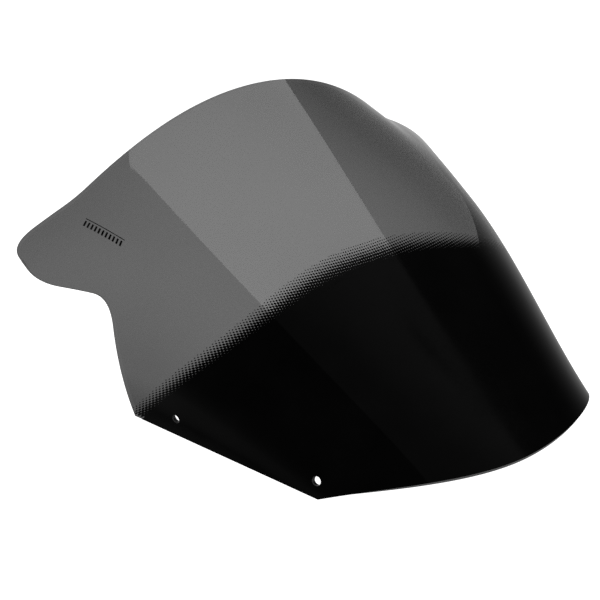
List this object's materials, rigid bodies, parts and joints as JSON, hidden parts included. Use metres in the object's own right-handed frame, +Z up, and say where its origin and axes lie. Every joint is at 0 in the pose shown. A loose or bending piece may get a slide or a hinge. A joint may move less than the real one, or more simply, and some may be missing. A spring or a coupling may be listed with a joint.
{
  "type": "motorcycle windshield screen",
  "caption": "Double-curved tinted acrylic motorcycle screen with flared wings, a printed black lower border with a dot fade, and side fixing holes.",
  "frame": {"origin": "centre of the bounding box's base, in the plane of the two straight lower edges", "axes": "+Z up from the lower edges, +Y towards the rider, +X to the side; the screen is the same on both sides of X = 0"},
  "size_m": [0.3946, 0.3627, 0.199],
  "materials": {
    "smoke_acrylic": "polished, smoke tint",
    "black_ink": "screen-printed black",
    "fade_ink": "screen-printed black dots"
  },
  "bodies": {
    "root": {"screen_sheet": "smoke_acrylic", "border_print": "black_ink", "fade_print": "fade_ink", "wing_mark": "black_ink"}
  },
  "joints": []
}
